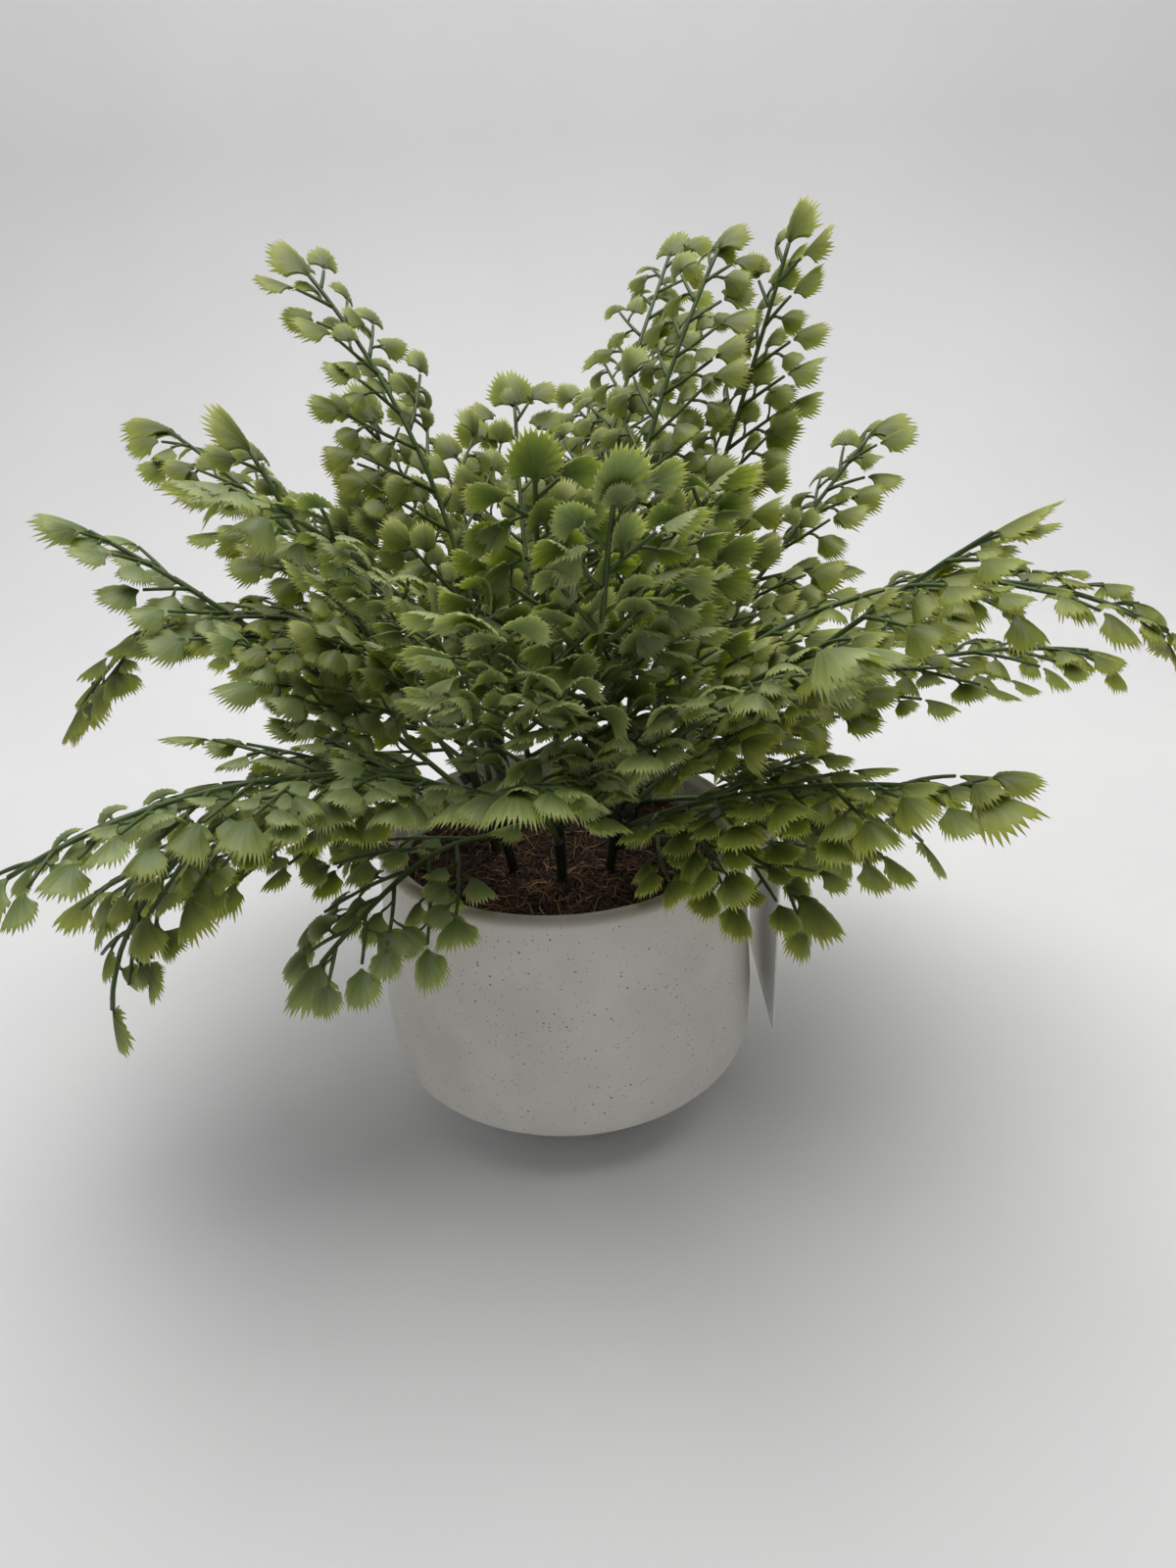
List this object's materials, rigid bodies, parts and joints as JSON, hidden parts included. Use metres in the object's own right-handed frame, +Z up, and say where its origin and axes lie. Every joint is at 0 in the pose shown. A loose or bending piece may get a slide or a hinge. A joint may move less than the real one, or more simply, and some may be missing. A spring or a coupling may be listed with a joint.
{
  "type": "artificial potted fern",
  "caption": "Artificial maidenhair fern on bendable wired stalks in a small speckled glazed pot, a tabletop greenery decoration with a blank hang tag.",
  "frame": {"origin": "centre of the circle of the pot's foot ring, in the plane it stands on", "axes": "+Z up along the pot's axis, +X to the viewer's right where the tag hangs, -Y towards the viewer"},
  "size_m": [0.3632, 0.3045, 0.2905],
  "materials": {
    "glazed_stoneware": "satin glaze with fine dark speckles",
    "foam": "open-celled foam, matte",
    "coir": "matted brown coconut fibre",
    "stalk_coating": "dark coated wire, satin",
    "fern_plastic": "moulded polyethylene leaf, satin and slightly translucent",
    "card": "uncoated white card",
    "nylon": "clear nylon loop"
  },
  "bodies": {
    "planter": {"pot": "glazed_stoneware", "foam_plug": "foam", "moss_layer": "coir", "stalk_end_1": "stalk_coating", "stalk_end_2": "stalk_coating", "stalk_end_3": "stalk_coating", "stalk_end_4": "stalk_coating", "stalk_end_5": "stalk_coating", "stalk_end_6": "stalk_coating", "stalk_end_7": "stalk_coating", "stalk_end_8": "stalk_coating"},
    "stalk_1_right": {"stalk_1": "stalk_coating", "frond_01": "fern_plastic", "frond_02": "fern_plastic", "frond_03": "fern_plastic", "frond_04": "fern_plastic"},
    "stalk_2_back_right": {"stalk_2": "stalk_coating", "frond_05": "fern_plastic", "frond_06": "fern_plastic", "frond_07": "fern_plastic", "frond_08": "fern_plastic", "frond_09": "fern_plastic"},
    "stalk_3_back": {"stalk_3": "stalk_coating", "frond_10": "fern_plastic", "frond_11": "fern_plastic", "frond_12": "fern_plastic", "frond_13": "fern_plastic"},
    "stalk_4_back_left": {"stalk_4": "stalk_coating", "frond_14": "fern_plastic", "frond_15": "fern_plastic", "frond_16": "fern_plastic", "frond_17": "fern_plastic", "frond_18": "fern_plastic"},
    "stalk_5_left": {"stalk_5": "stalk_coating", "frond_19": "fern_plastic", "frond_20": "fern_plastic", "frond_21": "fern_plastic", "frond_22": "fern_plastic"},
    "stalk_6_front_left": {"stalk_6": "stalk_coating", "frond_23": "fern_plastic", "frond_24": "fern_plastic", "frond_25": "fern_plastic", "frond_26": "fern_plastic"},
    "stalk_7_front": {"stalk_7": "stalk_coating", "frond_27": "fern_plastic", "frond_28": "fern_plastic", "frond_29": "fern_plastic", "frond_30": "fern_plastic"},
    "stalk_8_front_right": {"stalk_8": "stalk_coating", "frond_31": "fern_plastic", "frond_32": "fern_plastic", "frond_33": "fern_plastic", "frond_34": "fern_plastic", "frond_35": "fern_plastic"},
    "tag": {"hang_tag": "card", "tag_loop": "nylon"}
  },
  "joints": [
    {"name": "bend_stalk_1_right", "type": "hinge", "parent": "planter", "child": "stalk_1_right", "pos_m": [0.022, 0, 0.0939], "axis": [0, -1, 0], "range_deg": [-3, 3]},
    {"name": "bend_stalk_2_back_right", "type": "hinge", "parent": "planter", "child": "stalk_2_back_right", "pos_m": [0.01556, 0.01556, 0.0939], "axis": [0.7071, -0.7071, 0], "range_deg": [-8, 3]},
    {"name": "bend_stalk_3_back", "type": "hinge", "parent": "planter", "child": "stalk_3_back", "pos_m": [0, 0.022, 0.0939], "axis": [1, 0, 0], "range_deg": [-8, 3]},
    {"name": "bend_stalk_4_back_left", "type": "hinge", "parent": "planter", "child": "stalk_4_back_left", "pos_m": [-0.01556, 0.01556, 0.0939], "axis": [0.7071, 0.7071, 0], "range_deg": [-8, 3]},
    {"name": "bend_stalk_5_left", "type": "hinge", "parent": "planter", "child": "stalk_5_left", "pos_m": [-0.022, 0, 0.0939], "axis": [0, 1, 0], "range_deg": [-8, 3]},
    {"name": "bend_stalk_6_front_left", "type": "hinge", "parent": "planter", "child": "stalk_6_front_left", "pos_m": [-0.01556, -0.01556, 0.0939], "axis": [-0.7071, 0.7071, 0], "range_deg": [-8, 3]},
    {"name": "bend_stalk_7_front", "type": "hinge", "parent": "planter", "child": "stalk_7_front", "pos_m": [0, -0.022, 0.0939], "axis": [-1, 0, 0], "range_deg": [-8, 3]},
    {"name": "bend_stalk_8_front_right", "type": "hinge", "parent": "planter", "child": "stalk_8_front_right", "pos_m": [0.01556, -0.01556, 0.0939], "axis": [-0.7071, -0.7071, 0], "range_deg": [-8, 3]},
    {"name": "tag_swing", "type": "hinge", "parent": "stalk_1_right", "child": "tag", "pos_m": [0.06944, 0.00376, 0.11675], "axis": [0.9776, 0.0855, -0.1925], "range_deg": [-12, 12]}
  ]
}
